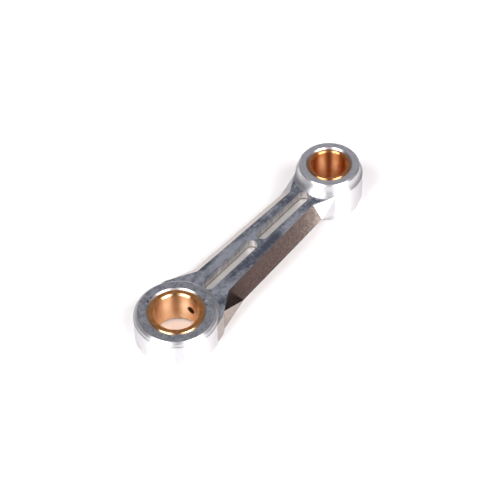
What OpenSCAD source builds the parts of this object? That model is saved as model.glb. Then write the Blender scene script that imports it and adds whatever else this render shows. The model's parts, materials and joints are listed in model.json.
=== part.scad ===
// Connecting rod of a small two-stroke model engine.
// An aluminium rod with a bronze bush pressed into each end. The shank has a
// flat on each face, milled slots along its middle and bevelled sides that
// meet in a knife edge halfway through the rod.
// Millimetres. The origin is the centre of the crankpin bore, halfway through
// the rod. +X runs to the small end and +Z runs along both bores.

/* [Centres] */
// Distance between the axes of the two bores
centre_distance = 34; // [32:0.5:44]

/* [Big end] */
// Radius of the crankpin bore
crankpin_bore_r = 3; // [2.4:0.05:3.4]
// Wall of the crankpin bush
crankpin_bush_wall = 1; // [0.7:0.05:1.2]
// Aluminium around the crankpin bush
big_end_wall = 1.9; // [1.5:0.05:2.4]
// Width of the big end from face to face
big_end_width = 5.3; // [4.9:0.1:7]
// How far the turned collar stands inside the wall of the big end
big_collar_step = 0.2; // [0.1:0.05:0.4]
// Chamfer around each face of the big end
big_collar_chamfer = 0.33; // [0.1:0.01:0.4]
// Radius of the cove at the foot of the big end's collar
big_cove_r = 0.48; // [0.2:0.02:0.5]

/* [Small end] */
// Radius of the gudgeon pin bore
gudgeon_bore_r = 2.5; // [2:0.05:2.8]
// Wall of the gudgeon pin bush
gudgeon_bush_wall = 0.6; // [0.5:0.05:0.9]
// Aluminium around the gudgeon pin bush
small_end_wall = 1.75; // [1.4:0.05:2.2]
// Width of the small end from face to face
small_end_width = 7.4; // [6.6:0.1:9]
// How far the turned collar stands inside the wall of the small end
small_collar_step = 0.45; // [0.2:0.05:0.6]
// Chamfer around each face of the small end
small_collar_chamfer = 0.2; // [0.1:0.01:0.4]
// Radius of the cove at the foot of the small end's collar
small_cove_r = 1.1; // [0.6:0.05:1.2]

/* [Shank] */
// Thickness of the shank between its two flats
shank_thickness = 3.7; // [3:0.1:4.1]
// Width of the flat where it leaves the big end's flare
flat_width_big = 5.64; // [4.8:0.1:6.4]
// Width of the flat where it meets the small end's flare
flat_width_small = 4.16; // [3.6:0.1:4.8]
// How far the knife edge stands out from the edge of the flat
bevel_reach = 1.72; // [1:0.05:1.9]
// From the big end's wall to the start of the straight flat
big_flare_length = 1.9; // [1.5:0.1:3]
// Angle between the big end's flare and the rod's length
big_flare_angle = 30; // [26:1:34]
// From the crankpin axis to the corner where the flare turns to the wall
big_flare_corner = 3.7; // [3.4:0.05:4.2]
// How far the run-out of the bevel reaches along the knife edge
bevel_run_out = 1.1; // [0.6:0.1:2]
// From the small end's wall to the end of the straight flat
small_flare_length = 1.65; // [1.4:0.1:2.6]

/* [Slots] */
// Width of the slots
slot_width = 1.7; // [1:0.1:2]
// Depth of the slots below the flat
slot_depth = 1.4; // [0.6:0.1:1.4]
// Land left between the two slots of one face
slot_land = 0.8; // [0.5:0.1:3]
// From the big end's wall to the first slot
slot_inset_big = 0.1; // [0:0.05:1]
// From the small end's wall to the second slot
slot_inset_small = 0.25; // [0.2:0.05:1]

/* [Bushes] */
// How far each bush stops short of the rod's face
bush_recess = 0.05; // [0:0.01:0.2]
// Chamfer inside each end of the crankpin bush
crankpin_lead_in = 0.25; // [0.1:0.01:0.3]
// Chamfer inside each end of the gudgeon pin bush
gudgeon_lead_in = 0.22; // [0.1:0.01:0.25]
// Chamfer outside each end of the crankpin bush
crankpin_bush_chamfer = 0.2; // [0.1:0.01:0.3]
// Chamfer outside each end of the gudgeon pin bush
gudgeon_bush_chamfer = 0.15; // [0.1:0.01:0.2]
// Chamfer at each end of the crankpin bush's seat
crankpin_seat_chamfer = 0.18; // [0.1:0.01:0.4]
// Chamfer at each end of the gudgeon pin bush's seat
gudgeon_seat_chamfer = 0.26; // [0.1:0.01:0.3]
// Interference of the press fits, on the radius
press_interference = 0; // [0:0.001:0.005]

/* [Oil hole] */
// Radius of the oil hole through the crankpin bush
oil_hole_r = 0.6; // [0.3:0.05:0.8]
// How far the oil hole runs on past the start of the first slot
oil_hole_run = 0.9; // [0.5:0.1:2]

/* [Hidden] */
$fn = 96;
cove_steps = 10;
cut_margin = 1;
// How far each cove's foot dips into the flat, and the ledge it leaves
// along the edge of the flat
cove_dip = 0.02;
cove_ledge = 0.03;
// The flares aim at a circle this much smaller than the wall they run into
flare_blend = 0.99;
// How far the shank's upright sides stand outside its knife edges
side_stand = 0.05;
// How far the edge of each flare dips in where it passes the knife edge
flare_dip = 0.02;
half = shank_thickness / 2;
far = 4 * centre_distance;

crankpin_seat_r = crankpin_bore_r + crankpin_bush_wall;
big_wall_r = crankpin_seat_r + big_end_wall;
big_collar_r = big_wall_r - big_collar_step;
big_top = big_end_width / 2;

gudgeon_seat_r = gudgeon_bore_r + gudgeon_bush_wall;
small_wall_r = gudgeon_seat_r + small_end_wall;
small_collar_r = small_wall_r - small_collar_step;
small_top = small_end_width / 2;

// The straight flat runs from flat_start to flat_end. Its edges taper evenly,
// and the knife edge keeps the same distance outside them.
flat_start = big_wall_r + big_flare_length;
flat_end = centre_distance - small_wall_r - small_flare_length;
function flat_half(x) =
    (flat_width_big + (flat_width_small - flat_width_big)
    * (x - flat_start) / (flat_end - flat_start)) / 2;
function edge_half(x) = flat_half(x) + bevel_reach;

// Where the straight line through a and b crosses the one through c and d
function crossing(a, b, c, d) =
    let (u = b - a, v = d - c, w = c - a)
    a + u * (w.x * v.y - w.y * v.x) / (u.x * v.y - u.y * v.x);

// Where a line from p touches the circle around centre; turn is +1 or -1
function touch_point(p, centre, r, turn) =
    let (away = p - centre)
    let (a = atan2(away.y, away.x) + turn * acos(min(1, r / norm(away))))
    centre + r * [cos(a), sin(a)];

// Corners of the flat on the +Y side, from the big end to the small end
flat_corner_big = [flat_start, flat_half(flat_start)];
flat_corner_small = [flat_end, flat_half(flat_end)];
flare_corner = [big_flare_corner, flat_corner_big.y
    + (flat_start - big_flare_corner) * tan(big_flare_angle)];
big_touch = touch_point(flare_corner, [0, 0],
    flare_blend * big_wall_r, 1);
small_touch = touch_point(flat_corner_small, [centre_distance, 0],
    flare_blend * small_wall_r, -1);

// Corners of the knife edge, and where the flares cross the upright sides
edge_corner_big = [flat_start + bevel_run_out,
    edge_half(flat_start + bevel_run_out)];
edge_corner_small = [flat_end, edge_half(flat_end)];
big_flare = crossing(flat_corner_big, flare_corner,
    edge_corner_big + [0, side_stand], edge_corner_small + [0, side_stand]);
small_flare = crossing(flat_corner_small, small_touch,
    edge_corner_big + [0, side_stand], edge_corner_small + [0, side_stand]);

slot_start = big_wall_r + slot_inset_big;
slot_end = centre_distance - small_wall_r - slot_inset_small;
slot_middle = (slot_start + slot_end) / 2;

// Colours
aluminium = [0.77, 0.78, 0.80];
bronze = [0.72, 0.45, 0.20];

// Mirror a +Y side outline to make the closed outline of the shank
function both_sides(side) = concat(
    [[0, 0]], side, [[centre_distance, 0]],
    [for (i = [len(side) - 1:-1:0]) [side[i].x, -side[i].y]]);

// Outline of the flats, drawn in by the ledge
flat_side = [for (p = [big_touch, flare_corner, flat_corner_big,
    flat_corner_small, small_touch]) p - [0, cove_ledge]];

// Outline of the shank before its sides are bevelled
blank_side = [big_touch, flare_corner, big_flare - [0, flare_dip],
    small_flare - [0, flare_dip], small_touch];

// Distance of point p outside the line from a to b, on its left
function reach_from(a, b, p) =
    ((b.x - a.x) * (p.y - a.y) - (b.y - a.y) * (p.x - a.x)) / norm(b - a);

// Everything above the slope that leaves the upper flat along the line from
// a to b and comes down to mid-plane at point p
module above_slope(a, b, p) {
    translate([a.x, a.y, half])
        rotate([0, 0, atan2(b.y - a.y, b.x - a.x)])
        rotate([-atan2(half, reach_from(a, b, p)), 0, 0])
        translate([-far / 2, -far / 2, 0])
        cube([far, far, far]);
}

// What the bevel and its two run-outs take off above the +Y knife edge
module bevel_cut() {
    start = (big_flare.x + flare_corner.x) / 2;
    end = (small_flare.x + small_touch.x) / 2;
    intersection() {
        translate([start, 0, -half])
            cube([end - start, 2 * big_wall_r, shank_thickness + cut_margin]);
        above_slope(flat_corner_big, flat_corner_small, edge_corner_big);
        above_slope(flare_corner, flat_corner_big, edge_corner_big);
        above_slope(flat_corner_small, small_touch, edge_corner_small);
    }
}

// Flat plate between the two ends with its bevelled sides
module shank() {
    difference() {
        linear_extrude(height = shank_thickness, center = true)
            polygon(both_sides(blank_side));
        for (side = [0, 1])
            for (face = [0, 1])
                mirror([0, side, 0])
                    mirror([0, 0, face])
                    bevel_cut();
    }
}

// Half profile of one end: face, chamfer, collar and cove out to its foot
function end_profile(collar_r, chamfer, cove_r, top) = concat(
    [[0, 0], [0, top], [collar_r - chamfer, top], [collar_r, top - chamfer]],
    [for (i = [0:cove_steps])
        let (a = 90 * i / cove_steps)
        [collar_r + cove_r * (1 - cos(a)),
            half - cove_dip + cove_r * (1 - sin(a))]],
    [[collar_r + cove_r, 0]]);

// One end of the rod, kept to its own wall and to the outline of the flats
module rod_end(x, wall_r, collar_r, chamfer, cove_r, top) {
    intersection() {
        translate([x, 0, 0])
            for (face = [0, 1])
                mirror([0, 0, face])
                    rotate_extrude()
                    polygon(end_profile(collar_r, chamfer, cove_r, top));
        union() {
            translate([x, 0, 0])
                cylinder(r = wall_r, h = 2 * top, center = true);
            linear_extrude(height = 2 * top, center = true)
                polygon(both_sides(flat_side));
        }
    }
}

// Through bore with a chamfer at each end
module seat_cut(x, r, top, chamfer) {
    translate([x, 0, 0]) {
        cylinder(r = r, h = 2 * (top + cut_margin), center = true);
        for (face = [0, 1])
            mirror([0, 0, face])
                translate([0, 0, top - chamfer])
                cylinder(r1 = r, r2 = r + chamfer + cut_margin,
                    h = chamfer + cut_margin);
    }
}

// Round-ended slot in the upper face from x0 to x1
module slot_cut(x0, x1) {
    slot_r = slot_width / 2;
    translate([0, 0, half - slot_depth]) {
        for (x = [x0 + slot_r, x1 - slot_r])
            translate([x, 0, 0])
                cylinder(r = slot_r, h = slot_depth + cut_margin / 2);
        translate([x0 + slot_r, -slot_r, 0])
            cube([x1 - x0 - slot_width, slot_width, slot_depth + cut_margin / 2]);
    }
}

// Both slots of both faces
module slots() {
    for (face = [0, 1])
        mirror([0, 0, face]) {
            slot_cut(slot_start, slot_middle - slot_land / 2);
            slot_cut(slot_middle + slot_land / 2, slot_end);
        }
}

// Oil way from the crankpin bore along the shank into the first slot
module oil_hole() {
    rotate([0, 90, 0])
        cylinder(r = oil_hole_r, h = slot_start + oil_hole_run, $fn = 48);
}

// Aluminium rod in one piece
module rod_body() {
    color(aluminium)
        difference() {
            union() {
                shank();
                rod_end(0, big_wall_r, big_collar_r, big_collar_chamfer,
                    big_cove_r, big_top);
                rod_end(centre_distance, small_wall_r, small_collar_r,
                    small_collar_chamfer, small_cove_r, small_top);
            }
            seat_cut(0, crankpin_seat_r, big_top, crankpin_seat_chamfer);
            seat_cut(centre_distance, gudgeon_seat_r, small_top,
                gudgeon_seat_chamfer);
            slots();
            oil_hole();
        }
}

// Plain bush with a chamfer inside and outside each end
module bush(bore_r, outer_r, top, lead_in, chamfer) {
    rotate_extrude()
        polygon([[bore_r, -top + lead_in], [bore_r + lead_in, -top],
            [outer_r - chamfer, -top], [outer_r, -top + chamfer],
            [outer_r, top - chamfer], [outer_r - chamfer, top],
            [bore_r + lead_in, top], [bore_r, top - lead_in]]);
}

// Bronze bush that runs on the crankpin, with the oil hole through its wall
module crankpin_bush() {
    color(bronze)
        difference() {
            bush(crankpin_bore_r, crankpin_seat_r + press_interference,
                big_top - bush_recess, crankpin_lead_in,
                crankpin_bush_chamfer);
            oil_hole();
        }
}

// Bronze bush that runs on the gudgeon pin
module gudgeon_pin_bush() {
    color(bronze)
        translate([centre_distance, 0, 0])
        bush(gudgeon_bore_r, gudgeon_seat_r + press_interference,
            small_top - bush_recess, gudgeon_lead_in, gudgeon_bush_chamfer);
}

rod_body();
crankpin_bush();
gudgeon_pin_bush();
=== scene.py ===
# %% [markdown]
# # A small engine's connecting rod
# The rod joins a piston to a crankshaft. It is aluminium: each end is turned
# to a round eye, the shank between them is milled flat, slotted and bevelled,
# and a bronze bush is pressed into each eye. The solid model arrives from the
# frame. This file gives each surface a finish to match the tool that would
# make it, then lights it like a small bright part on a studio table.

import json
import math

import bmesh
import bpy
from mathutils import Matrix, Vector


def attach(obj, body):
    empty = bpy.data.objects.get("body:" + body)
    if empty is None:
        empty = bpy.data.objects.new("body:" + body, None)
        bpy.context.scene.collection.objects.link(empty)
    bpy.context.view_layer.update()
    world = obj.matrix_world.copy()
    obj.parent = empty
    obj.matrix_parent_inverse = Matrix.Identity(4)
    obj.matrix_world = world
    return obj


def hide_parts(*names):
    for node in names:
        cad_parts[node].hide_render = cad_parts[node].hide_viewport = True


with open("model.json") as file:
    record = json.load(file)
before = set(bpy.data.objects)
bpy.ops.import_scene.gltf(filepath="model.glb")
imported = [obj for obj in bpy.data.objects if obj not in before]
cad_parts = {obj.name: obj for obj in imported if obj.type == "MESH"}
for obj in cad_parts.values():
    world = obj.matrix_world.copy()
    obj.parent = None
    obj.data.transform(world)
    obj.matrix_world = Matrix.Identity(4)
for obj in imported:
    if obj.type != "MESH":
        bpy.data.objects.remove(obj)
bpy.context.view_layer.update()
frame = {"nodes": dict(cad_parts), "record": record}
MM = 0.001
mounts = {m["name"]: m for m in frame["record"]["mounts"]}
crankpin = Vector(mounts["crankpin_bore"]["pos_m"])
gudgeon = Vector(mounts["gudgeon_pin_bore"]["pos_m"])
centre_distance = (gudgeon - crankpin).length
big_end_top = mounts["big_end_upper_face"]["pos_m"][2]
small_end_top = mounts["small_end_upper_face"]["pos_m"][2]
print("pieces:", sorted(frame["nodes"]))
print("centre distance, mm:", round(centre_distance / MM, 2))

# %% [markdown]
# ## Two small helpers
# Colours are given as sRGB hex values, but shaders add up light in
# linear numbers, so one function turns the first into the second. Another
# adds a node to a tree, fills in its settings and links its inputs, which
# keeps each material below down to a short list of steps.

# %% Helpers for colours and nodes
def linear(hex_colour):
    """Turns '#RRGGBB' into the linear RGBA that a shader socket takes."""
    channels = [int(hex_colour[i:i + 2], 16) / 255 for i in (1, 3, 5)]
    return (*[c / 12.92 if c <= 0.04045 else ((c + 0.055) / 1.055) ** 2.4
              for c in channels], 1.0)


def add(tree, kind, settings=None, **inputs):
    """Adds a node. An input is a value, or an output socket to link from."""
    node = tree.nodes.new(kind)
    for name, value in (settings or {}).items():
        setattr(node, name, value)
    for name, value in inputs.items():
        key = int(name[1:]) if name[0] == "i" and name[1:].isdigit() \
            else name.replace("_", " ")
        socket = node.inputs[key]
        if isinstance(value, bpy.types.NodeSocket):
            tree.links.new(value, socket)
        else:
            socket.default_value = value
    return node


def new_material(name):
    """Makes a material with a shader, and its Object coordinates in mm."""
    material = bpy.data.materials.new(name)
    material.use_nodes = True
    tree = material.node_tree
    shader = tree.nodes["Principled BSDF"]
    place = add(tree, "ShaderNodeTexCoord").outputs["Object"]
    place_mm = add(tree, "ShaderNodeVectorMath", {"operation": "SCALE"},
                   i0=place, Scale=1 / MM).outputs[0]
    return material, tree, shader, place_mm


print("white in linear numbers:", linear("#FFFFFF"))

# %% [markdown]
# ## Patterns that tools and handling leave
# Three patterns cover every finish here. Cloudy patches are where polishing
# or handling left the metal a little brighter or duller. Tool lines are fine
# parallel ridges: noise stretched along the cut makes them uneven, as a real
# cutter does. Rings are the same ridges bent round an axis, from a lathe.
# Each takes its size in millimetres, so its scale is that of the real mark.

# %% Pattern helpers
def cloud(tree, place, size_mm, detail=3.0, seed=0.0):
    """Soft patches about size_mm across, as a value from 0 to 1."""
    return add(tree, "ShaderNodeTexNoise", {"noise_dimensions": "4D"},
               Vector=place, W=seed, Scale=1 / size_mm, Detail=detail,
               Roughness=0.55).outputs["Fac"]


def stretched(tree, place, spacing_mm, seed=0.0, detail=2.0):
    """Fine lines with a different spacing along X, Y and Z."""
    scale = [1 / s for s in spacing_mm]
    moved = add(tree, "ShaderNodeMapping", Vector=place, Scale=scale)
    return add(tree, "ShaderNodeTexNoise", {"noise_dimensions": "4D"},
               Vector=moved.outputs[0], W=seed, Scale=1.0, Detail=detail,
               Roughness=0.5).outputs["Fac"]


def rings(tree, place, centre_x_mm, spacing_mm, seed=0.0):
    """Uneven turned rings round an upright axis at centre_x_mm."""
    moved = add(tree, "ShaderNodeVectorMath", {"operation": "SUBTRACT"},
                i0=place, i1=(centre_x_mm, 0, 0)).outputs[0]
    flat = add(tree, "ShaderNodeVectorMath", {"operation": "MULTIPLY"},
               i0=moved, i1=(1, 1, 0)).outputs[0]
    radius = add(tree, "ShaderNodeVectorMath", {"operation": "LENGTH"},
                 i0=flat).outputs["Value"]
    place = add(tree, "ShaderNodeCombineXYZ", X=radius)
    return stretched(tree, place.outputs[0], (spacing_mm,) * 3, seed)


def span(tree, value, low, high, to_low, to_high):
    """Maps a value from one range to another, smoothly and with no spill."""
    return add(tree, "ShaderNodeMapRange",
               {"interpolation_type": "SMOOTHSTEP"}, Value=value,
               From_Min=low, From_Max=high, To_Min=to_low,
               To_Max=to_high).outputs[0]


def tint(tree, mask, dark_hex, light_hex):
    """Blends two sRGB colours by a mask."""
    return add(tree, "ShaderNodeMix", {"data_type": "RGBA"}, i0=mask,
               i6=linear(dark_hex), i7=linear(light_hex)).outputs[2]


def ridges(tree, height, depth_mm, strength=1.0):
    """Turns a height pattern into a bump of a real depth."""
    return add(tree, "ShaderNodeBump", Strength=strength,
               Distance=depth_mm * MM, Height=height).outputs[0]


def dress(tree, shader, colour, roughness, normal):
    """Finishes a bare metal: every one here is fully metallic."""
    tree.links.new(colour, shader.inputs["Base Color"])
    tree.links.new(roughness, shader.inputs["Roughness"])
    tree.links.new(normal, shader.inputs["Normal"])
    shader.inputs["Metallic"].default_value = 1.0


def smear_upright(tree, shader, amount):
    """Spreads highlights up and down a wall, across its turned rings."""
    upright = add(tree, "ShaderNodeCombineXYZ", Z=1.0).outputs[0]
    tree.links.new(upright, shader.inputs["Tangent"])
    shader.inputs["Anisotropic"].default_value = amount


print("pattern helpers ready")

# %% [markdown]
# ## Polished flats
# The two flats of the shank were milled along the rod and then polished, so
# they are nearly mirrors. Faint lines run lengthwise, and hazy patches from
# handling vary how rough the mirror is. The same patches also paint the
# colour darker and lighter: a painted reflection of dim and bright streaks.
# Bare aluminium reflects about nine tenths of the light with a slightly blue
# cast.

# %% Milled and polished aluminium for the flats
SPECKLE_SHARE = 0.5


def polished_flat():
    material, tree, shader, place = new_material("polished aluminium flat")
    # Painted reflection: these patches darken and lighten the colour; they
    # also vary the roughness.
    haze_and_painted_reflection = stretched(tree, place, (4.5, 1.6, 4.0), seed=3.2, detail=4.0)
    speckle = cloud(tree, place, 0.4, detail=4.0, seed=9.0)
    haze_and_painted_reflection = add(tree, "ShaderNodeMath", {"operation": "MULTIPLY_ADD"},
               i0=speckle, i1=SPECKLE_SHARE, i2=haze_and_painted_reflection).outputs[0]
    haze_and_painted_reflection = span(tree, haze_and_painted_reflection, 0.58, 0.94, 0.0, 1.0)
    lines = stretched(tree, place, (6.0, 0.10, 1.0), seed=1.0)
    waves = cloud(tree, place, 2.2, detail=2.0, seed=5.0)
    fine = ridges(tree, lines, 0.0012)
    normal = add(tree, "ShaderNodeBump", Strength=1.0, Distance=0.012 * MM,
                 Height=waves, Normal=fine).outputs[0]
    dress(tree, shader, tint(tree, haze_and_painted_reflection, "#7D808C", "#E2E4EA"),
          span(tree, haze_and_painted_reflection, 0.0, 1.0, 0.17, 0.23), normal)
    return material


flat_metal = polished_flat()
print("made:", flat_metal.name)

# %% [markdown]
# ## Lapped end faces
# The round faces of both ends rub against the crank web and the piston, so
# they are lapped flat. Lapping leaves a satin grey with no single direction,
# over the faint rings of the lathe tool that came before it. A few small
# marks sit beside the bush on the big end. They are colour only: nothing is
# cut into the metal. The dark ones are painted shade of small dents, and the
# white one is a painted glint. Each has a place in millimetres, a radius and
# a colour.

# %% Lapped aluminium for the end faces
# Painted shade (dark) and a painted glint (white) for small dents.
DENT_SHADE, DENT_GLINT = "#4A474C", "#FFFFFF"
MARK_CORE = 0.4
top_mm = big_end_top / MM
dent_shade_and_glint = [((3.92, -1.62, top_mm), 0.20, DENT_SHADE),
               ((3.45, -2.50, top_mm), 0.20, DENT_SHADE),
               ((3.98, -2.02, top_mm), 0.22, DENT_GLINT),
               ((-1.10, 4.14, top_mm), 0.24, DENT_SHADE),
               ((-0.30, 4.28, top_mm), 0.18, DENT_SHADE)]


def lapped_face(name, centre_x_mm, dark_hex, light_hex, seed, marks=()):
    material, tree, shader, place = new_material(name)
    patches = cloud(tree, place, 0.5, detail=5.0, seed=seed)
    turned = rings(tree, place, centre_x_mm, 0.12, seed=seed)
    mask = span(tree, patches, 0.38, 0.62, 0.0, 1.0)
    normal = ridges(tree, turned, 0.0008)
    colour = tint(tree, mask, dark_hex, light_hex)
    # Each mark blends in its painted shade or its painted glint.
    for spot_place, radius, hex_colour in marks:
        away_from = add(tree, "ShaderNodeVectorMath",
                        {"operation": "DISTANCE"}, i0=place, i1=spot_place)
        inside = span(tree, away_from.outputs["Value"],
                      radius * MARK_CORE, radius, 1.0, 0.0)
        colour = add(tree, "ShaderNodeMix", {"data_type": "RGBA"}, i0=inside,
                     i6=colour, i7=linear(hex_colour)).outputs[2]
    dress(tree, shader, colour,
          span(tree, patches, 0.35, 0.65, 0.29, 0.33), normal)
    return material


big_face_metal = lapped_face("lapped big end face", 0.0,
                             "#ACADB2", "#D2D3D6", 1.3, dent_shade_and_glint)
small_face_metal = lapped_face("lapped small end face", centre_distance / MM,
                               "#E0DDDF", "#F2EFF1", 8.1)
print("made:", big_face_metal.name, "and", small_face_metal.name)
print("marks beside the crankpin bush:", len(dent_shade_and_glint))

# %% [markdown]
# ## Bevelled sides
# The sides of the shank are milled to a slope and left as the cutter made
# them: a mottled grey with a warm cast, and short ridges across the slope.
# The upright sides of the flare beside the big end get the same darker finish
# as painted shade: it darkens them as the shade they reflect from under the
# shank would.

# %% As-milled aluminium for the bevels
def milled_bevel():
    material, tree, shader, place = new_material("as-milled aluminium bevel")
    mottle = cloud(tree, place, 0.35, detail=5.0, seed=2.0)
    stain = span(tree, mottle, 0.35, 0.68, 0.0, 1.0)
    cuts = stretched(tree, place, (0.16, 1.4, 1.4), seed=7.0)
    normal = ridges(tree, cuts, 0.0012)
    dress(tree, shader, tint(tree, stain, "#92867F", "#A39890"),
          span(tree, stain, 0.0, 1.0, 0.19, 0.22), normal)
    return material


bevel_metal = milled_bevel()
print("made:", bevel_metal.name)

# %% [markdown]
# ## Turned walls
# The collars, coves and outer walls of both ends come from the lathe with
# fine rings round them, so light smears up and down the wall. They are the
# brightest part of the rod, because they face the white table and the lamps.

# %% Turned aluminium for collars, coves and walls
def turned_wall():
    material, tree, shader, place = new_material("turned aluminium wall")
    grooves = stretched(tree, place, (30.0, 30.0, 0.09), seed=4.0)
    patches = cloud(tree, place, 2.5, seed=6.0)
    dress(tree, shader, tint(tree, patches, "#D3D4D8", "#EDEDEF"),
          span(tree, patches, 0.3, 0.7, 0.40, 0.48),
          ridges(tree, grooves, 0.0006))
    smear_upright(tree, shader, 0.9)
    return material


wall_metal = turned_wall()
print("made:", wall_metal.name)

# %% [markdown]
# ## Milled slots
# An end mill cuts the slots. It leaves upright scallops along both walls, and
# the same short ridges across the floor. The floor is painted one even tone,
# brighter than the walls, as painted light on the face that looks up. Each
# wall is painted darker towards the floor: painted shade in the corner. Each
# face of the rod has two slots, and all four are equally deep.

# %% End-milled aluminium for the slots
SLOT_FLOOR_Z_MM = 0.45
CORNER_SHADE_MM = 0.3
# Painted light: the slot floor is a brighter copy of the slot metal, for the
# face that looks up.
LIT_FLOOR_TONE = "#E4E1DD"


def milled_slot(name, dark_hex, light_hex, corner_shade_hex):
    """Slot metal. Near the floor's height it turns to the painted corner
    shade.
    """
    material, tree, shader, place = new_material(name)
    scallops = stretched(tree, place, (0.25, 6.0, 6.0), seed=8.0, detail=0.0)
    light = span(tree, scallops, 0.35, 0.65, 0.0, 1.0)
    height = add(tree, "ShaderNodeSeparateXYZ", Vector=place).outputs["Z"]
    height = add(tree, "ShaderNodeMath", {"operation": "ABSOLUTE"},
                 i0=height).outputs[0]
    # Painted shade: the wall colour darkens to the corner colour towards the
    # floor.
    corner = span(tree, height, SLOT_FLOOR_Z_MM,
                  SLOT_FLOOR_Z_MM + CORNER_SHADE_MM, 1.0, 0.0)
    colour = add(tree, "ShaderNodeMix", {"data_type": "RGBA"}, i0=corner,
                 i6=tint(tree, light, dark_hex, light_hex),
                 i7=linear(corner_shade_hex)).outputs[2]
    dress(tree, shader, colour, span(tree, light, 0.0, 1.0, 0.50, 0.58),
          ridges(tree, scallops, 0.0008))
    return material


# The third colour, #4E4A49, is the painted shade in the corner by the floor.
slot_wall_metal = milled_slot("end-milled slot wall",
                              "#A9A5A6", "#C9C5C5", "#4E4A49")
lit_slot_floor_metal = milled_slot("end-milled slot floor",
                               LIT_FLOOR_TONE, LIT_FLOOR_TONE, LIT_FLOOR_TONE)
print("made:", slot_wall_metal.name, "and", lit_slot_floor_metal.name)

# %% [markdown]
# ## Bearing bronze
# The bushes are bearing bronze, bored and reamed. The reamer goes round, so
# its marks are rings, and the light smears along the bore instead of across
# it. An anisotropic highlight with an upright tangent does that.

# %% Reamed bronze for the two bushes
def reamed_bronze(name, dark_hex, light_hex, seed):
    material, tree, shader, place = new_material(name)
    patches = cloud(tree, place, 2.0, detail=2.0, seed=seed)
    rings_z = stretched(tree, place, (40.0, 40.0, 0.12), seed=seed)
    mask = span(tree, patches, 0.35, 0.65, 0.0, 1.0)
    dress(tree, shader, tint(tree, mask, dark_hex, light_hex),
          span(tree, patches, 0.3, 0.7, 0.345, 0.375),
          ridges(tree, rings_z, 0.0003))
    smear_upright(tree, shader, 1.0)
    return material


print("reamed bronze ready")

# %% [markdown]
# ## Faced bronze
# The flat ends of a bush are faced across in the lathe, not reamed. An
# upright smear means nothing on a face that itself looks upwards, and would
# only make it glare, so the ends have a plain satin with colours of its own.

# %% Faced bronze for the bushes' flat ends
def faced_bronze(name, dark_hex, light_hex, seed):
    material, tree, shader, place = new_material(name)
    patches = cloud(tree, place, 0.7, detail=4.0, seed=seed)
    mask = span(tree, patches, 0.35, 0.65, 0.0, 1.0)
    dress(tree, shader, tint(tree, mask, dark_hex, light_hex),
          span(tree, patches, 0.3, 0.7, 0.24, 0.30),
          ridges(tree, patches, 0.0006))
    return material


print("faced bronze ready")

# %% [markdown]
# ## Smooth copies of the solid pieces
# The frame's meshes are loose triangles, so every facet of a round wall
# would show in such bright metal. A copy of each is merged, its real corners
# are marked sharp by their angle, and everything else is shaded smooth. The
# copy stands in for the solid and rides with it, with the same outline.

# %% Make a merged, smooth copy of a solid
SHARP_ANGLE = math.radians(24)
MERGE_DISTANCE = 0.0004 * MM


def smooth_copy(node, name):
    """A merged copy of a CAD node, smooth except at its real corners."""
    source = frame["nodes"][node]
    mesh = source.data.copy()
    mesh.materials.clear()
    shape = bmesh.new()
    shape.from_mesh(mesh)
    bmesh.ops.remove_doubles(shape, verts=shape.verts, dist=MERGE_DISTANCE)
    bmesh.ops.dissolve_degenerate(shape, edges=shape.edges,
                                  dist=MERGE_DISTANCE)
    for face in shape.faces:
        face.smooth = True
    for edge in shape.edges:
        edge.smooth = (len(edge.link_faces) == 2
                       and edge.calc_face_angle() < SHARP_ANGLE)
    shape.to_mesh(mesh)
    shape.free()
    if mesh.has_custom_normals:
        mesh.normals_split_custom_set([(0, 0, 0)] * len(mesh.loops))
    mesh.name = name
    piece = bpy.data.objects.new(name, mesh)
    bpy.context.collection.objects.link(piece)
    print(name, len(mesh.polygons), "triangles")
    return piece


print("corners sharper than", round(math.degrees(SHARP_ANGLE)),
      "degrees stay sharp")

# %% [markdown]
# ## Which finish goes where on the rod
# The rod is one piece of metal with seven finishes. Each face is told apart by
# the way it points and by how high it sits: the end faces are the highest
# flats, the shank's flats are lower, and the slot floors lower still. What
# points sideways belongs to a slot, a flare, a bevel or a turned wall.

# %% Sort the rod's faces by finish
FLAT, BIG_FACE, SMALL_FACE, SIDE, WALL, SLOT_WALL, SLOT_FLOOR = range(7)

# How far a face leans, as the upright part of its normal: 1 is a flat.
FACING_UP = 0.995
SLOT_WALL_LEAN = 0.3
BEVEL_LEAN = (0.35, 0.93)

# Heights from the rod's middle plane, and how far off a face may be.
END_FACE_SLACK = 0.05 * MM
SLOT_FLOOR_BELOW = 0.7 * MM
SLOT_WALL_BELOW = 1.8 * MM
BEVEL_BELOW = 1.86 * MM

# Distances across and along the rod.
SLOT_HALF_WIDTH = 0.86 * MM
BEVEL_BEYOND = 1.8 * MM
BIG_WALL_R = 5.9 * MM
SMALL_WALL_R = 4.85 * MM
WALL_SLACK = 0.1 * MM
BIG_FLARE = 3.0 * MM
SMALL_FLARE = 1.6 * MM
SHANK_OVERLAP = 0.9
shank_start = SHANK_OVERLAP * BIG_WALL_R
shank_end = centre_distance - SHANK_OVERLAP * SMALL_WALL_R
big_flare_end = BIG_WALL_R + BIG_FLARE
small_flare_start = centre_distance - SMALL_WALL_R - SMALL_FLARE


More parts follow.
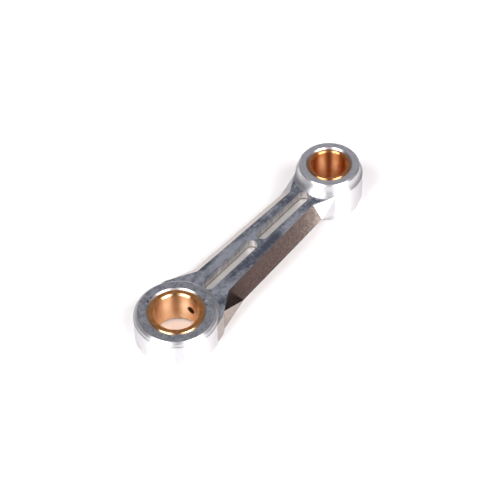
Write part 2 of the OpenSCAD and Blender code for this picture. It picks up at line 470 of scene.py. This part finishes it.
def rod_finish(centre, normal):
    """Index of the finish of one face of the rod."""
    lean = abs(normal.z)
    height = abs(centre.z)
    aside = abs(centre.y)
    from_big = math.hypot(centre.x, centre.y)
    from_small = math.hypot(centre.x - centre_distance, centre.y)
    on_shank = shank_start < centre.x < shank_end
    if lean > FACING_UP and height > big_end_top - END_FACE_SLACK:
        return BIG_FACE if from_big < from_small else SMALL_FACE
    if on_shank and aside < SLOT_HALF_WIDTH:
        if lean > FACING_UP and height < SLOT_FLOOR_BELOW:
            return SLOT_FLOOR
        if height < SLOT_WALL_BELOW and lean < SLOT_WALL_LEAN:
            return SLOT_WALL
    if lean > FACING_UP:
        return FLAT
    # Upright faces of the big end's flare take the bevel finish as painted
    # shade.
    if (0 < centre.x < big_flare_end and lean < BEVEL_LEAN[0]
            and from_big > BIG_WALL_R + WALL_SLACK):
        return SIDE
    if (on_shank and centre.x < small_flare_start
            and BEVEL_LEAN[0] < lean < BEVEL_LEAN[1]
            and aside > BEVEL_BEYOND and height < BEVEL_BELOW):
        return SIDE
    return WALL


rod = smooth_copy("rod_body", "rod")
finishes = [flat_metal, big_face_metal, small_face_metal, bevel_metal,
            wall_metal, slot_wall_metal, lit_slot_floor_metal]
for finish in finishes:
    rod.data.materials.append(finish)
for polygon in rod.data.polygons:
    polygon.material_index = rod_finish(polygon.center, polygon.normal)
counts = [sum(p.material_index == i for p in rod.data.polygons)
          for i in range(len(finishes))]
print({f.name: n for f, n in zip(finishes, counts)})
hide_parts("rod_body")
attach(rod, "root")

# %% [markdown]
# ## The two bushes
# Each bush is its own piece, because each is turned on its own and pressed
# in. The bush at the crankpin is the paler of the two, and the one at the
# gudgeon pin is redder. Each has one bronze for its bore and one for its ends.

# %% Crankpin bush and gudgeon pin bush
CRANKPIN_BRONZE = ("#E3B488", "#ECC49E")
CRANKPIN_FACED = ("#D48A4C", "#E09E62")
GUDGEON_BRONZE = ("#D6925A", "#E0A274")
GUDGEON_FACED = ("#D08A58", "#E0A478")
FLAT_END = 0.99
for node, name, reamed, faced, seed in (
        ("crankpin_bush", "bush_at_crankpin",
         CRANKPIN_BRONZE, CRANKPIN_FACED, 2.7),
        ("gudgeon_pin_bush", "bush_at_gudgeon_pin",
         GUDGEON_BRONZE, GUDGEON_FACED, 5.9)):
    bush = smooth_copy(node, name)
    bush.data.materials.append(reamed_bronze(f"reamed {name}", *reamed, seed))
    bush.data.materials.append(faced_bronze(f"faced {name}", *faced, seed))
    for polygon in bush.data.polygons:
        polygon.material_index = int(abs(polygon.normal.z) > FLAT_END)
    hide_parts(node)
    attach(bush, "root")

# %% [markdown]
# ## The table
# The rod rests on both ends. Its small end is wider, so the table under it
# is not quite parallel to the rod: it slopes from the outer edge of the big
# end's lower face to the inner edge of the small end's. The table is a plain
# matt white card, large enough to be all that lies behind the rod.

# %% A white table that touches both ends
BIG_FACE_R = 5.4 * MM
SMALL_FACE_R = 4.2 * MM
TABLE_SIDE = 6.0
TABLE_GAP = 0.005 * MM
CARD_COLOUR = "#F4F1F1"
CARD_ROUGHNESS = 0.9
CARD_SHEEN = 0.1
big_contact = Vector((crankpin.x - BIG_FACE_R, 0, -big_end_top))
small_contact = Vector((gudgeon.x - SMALL_FACE_R, 0, -small_end_top))
along = (small_contact - big_contact).normalized()
table_normal = along.cross(Vector((0, 1, 0))).normalized()
if table_normal.z < 0:
    table_normal.negate()
table_mesh = bpy.data.meshes.new("table")
across = Vector((0, 1, 0))
gap = table_normal * TABLE_GAP
corners = [big_contact - gap + along * x * TABLE_SIDE / 2
           + across * y * TABLE_SIDE / 2
           for x, y in ((-1, -1), (1, -1), (1, 1), (-1, 1))]
table_mesh.from_pydata(corners, [], [(0, 1, 2, 3)])
table = bpy.data.objects.new("table", table_mesh)
bpy.context.collection.objects.link(table)
card = bpy.data.materials.new("white card")
card.use_nodes = True
card_shader = card.node_tree.nodes["Principled BSDF"]
card_shader.inputs["Base Color"].default_value = linear(CARD_COLOUR)
card_shader.inputs["Roughness"].default_value = CARD_ROUGHNESS
card_shader.inputs["Specular IOR Level"].default_value = CARD_SHEEN
table_mesh.materials.append(card)
print("table slope, degrees:",
      round(math.degrees(math.acos(table_normal.z)), 2))

# %% [markdown]
# ## The room
# Bare metal shows what is around it, so the room matters as much as the
# lamps. Here the room is a dim, warm grey. Three soft round patches change
# that: a lighter, cooler grey high up opposite the camera, which the polished
# flats show; a pinkish grey to one side, which the bevels show; and a dark
# brown one beside it. The patches are laid over one another in that order.

# %% The dim room
CAMERA_AZIMUTH = -139.5
CAMERA_ELEVATION = 48.58
ROOM_COLOUR = "#5A5352"
PATCH_CORE = 0.35


def bearing(azimuth, elevation):
    """Unit vector towards a compass bearing and height, in degrees."""
    a, e = math.radians(azimuth), math.radians(elevation)
    return Vector((math.cos(a) * math.cos(e), math.sin(a) * math.cos(e),
                   math.sin(e)))


room = bpy.data.worlds.new("dim room")
bpy.context.scene.world = room
room.use_nodes = True
room_tree = room.node_tree
looking = add(room_tree, "ShaderNodeTexCoord").outputs["Generated"]


def spot(colour, towards, radius_degrees, hex_colour):
    """Blends a soft round spot of another colour into the room."""
    dot = add(room_tree, "ShaderNodeVectorMath",
              {"operation": "DOT_PRODUCT"}, i0=looking, i1=towards)
    mask = span(room_tree, dot.outputs["Value"],
                math.cos(math.radians(radius_degrees)),
                math.cos(math.radians(radius_degrees * PATCH_CORE)), 0.0, 1.0)
    return add(room_tree, "ShaderNodeMix", {"data_type": "RGBA"}, i0=mask,
               i6=colour, i7=linear(hex_colour)).outputs[2]


patches = [((40, 50), 55, "#9A9BA2"),
           ((-57, 22), 32, "#AF9E9F"),
           ((-16, 8), 26, "#38302F")]
walls = linear(ROOM_COLOUR)
for (azimuth, elevation), radius, hex_colour in patches:
    walls = spot(walls, bearing(azimuth, elevation), radius, hex_colour)
background = room_tree.nodes["Background"]
room_tree.links.new(walls, background.inputs["Color"])
background.inputs["Strength"].default_value = 1.0
print("patches in the room:", len(patches))

# %% [markdown]
# ## The lamps
# Two large soft boxes stand to the left and right of the camera, at the same
# distance from the middle of the rod. They draw the two streaks in each bore.

# %% The two soft boxes
SOFT_BOX_TURN = 44
LAMP_DISTANCE = 0.7
LAMP_ELEVATION = 42
LAMP_WIDTH = 0.40
LAMP_HEIGHT = 0.52
LAMP_WATTS = 6.0
focus = (crankpin + gudgeon) / 2
for side, turn in (("left", SOFT_BOX_TURN), ("right", -SOFT_BOX_TURN)):
    data = bpy.data.lights.new(f"soft box {side}", "AREA")
    data.shape = "RECTANGLE"
    data.size, data.size_y = LAMP_WIDTH, LAMP_HEIGHT
    data.energy = LAMP_WATTS
    lamp = bpy.data.objects.new(f"soft box {side}", data)
    bpy.context.collection.objects.link(lamp)
    away = bearing(CAMERA_AZIMUTH + turn, LAMP_ELEVATION)
    lamp.location = focus + away * LAMP_DISTANCE
    lamp.rotation_mode = "QUATERNION"
    lamp.rotation_quaternion = away.to_track_quat("Z", "Y")
    print("soft box", side, [round(c, 3) for c in lamp.location])

# %% [markdown]
# ## The camera
# A long lens from a short distance, looking down from behind the big end.
# The camera is rolled by under two degrees.

# %% Camera
CAMERA_NUDGE = -0.02
CAMERA_DISTANCE = 0.28437
CAMERA_LEAN = -1.752
CAMERA_LENS = 144.96
SENSOR_WIDTH_MM = 36.0
NEAREST, FARTHEST = 0.01, 20.0
aim = Vector((16.585 * MM, 0.622 * MM, 0))
away = bearing(CAMERA_AZIMUTH + CAMERA_NUDGE, CAMERA_ELEVATION)
right = Vector((0, 0, 1)).cross(away).normalized()
up = away.cross(right)
lean = math.radians(CAMERA_LEAN)
leaning_right = right * math.cos(lean) + up * math.sin(lean)
leaning_up = up * math.cos(lean) - right * math.sin(lean)
camera_data = bpy.data.cameras.new("camera")
camera_data.sensor_width = SENSOR_WIDTH_MM
camera_data.lens = CAMERA_LENS
camera_data.clip_start = NEAREST
camera_data.clip_end = FARTHEST
camera = bpy.data.objects.new("camera", camera_data)
bpy.context.collection.objects.link(camera)
camera.matrix_world = Matrix.Translation(aim + away * CAMERA_DISTANCE) @ \
    Matrix((leaning_right, leaning_up, away)).transposed().to_4x4()
bpy.context.scene.camera = camera
bpy.context.scene.view_settings.view_transform = "Standard"
print("camera at", [round(c, 4) for c in camera.location])
